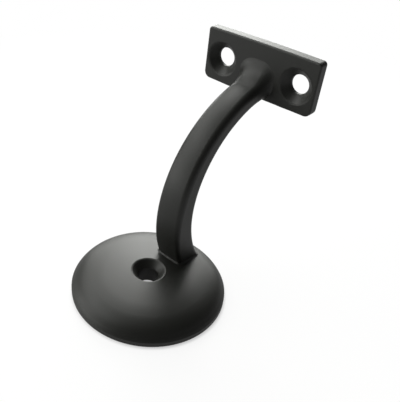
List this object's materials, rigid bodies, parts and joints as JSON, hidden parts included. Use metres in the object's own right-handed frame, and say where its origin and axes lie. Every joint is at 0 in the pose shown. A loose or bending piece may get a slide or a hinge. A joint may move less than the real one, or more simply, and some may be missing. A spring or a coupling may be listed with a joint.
{
  "type": "handrail bracket",
  "caption": "Cast handrail bracket with a round domed wall rose, a swept arm and a flat rectangular saddle plate for the rail.",
  "frame": {"origin": "centre of the rose's back, on the axis of the wall screw, in the plane of the wall", "axes": "+Z out of the wall along the wall screw, +Y the way the arm carries the saddle (up in use), +X along the saddle and the rail"},
  "size_m": [0.0531, 0.0749, 0.0762],
  "materials": {
    "black_coat": "satin black powder coat"
  },
  "bodies": {
    "root": {"bracket": "black_coat"}
  },
  "joints": []
}
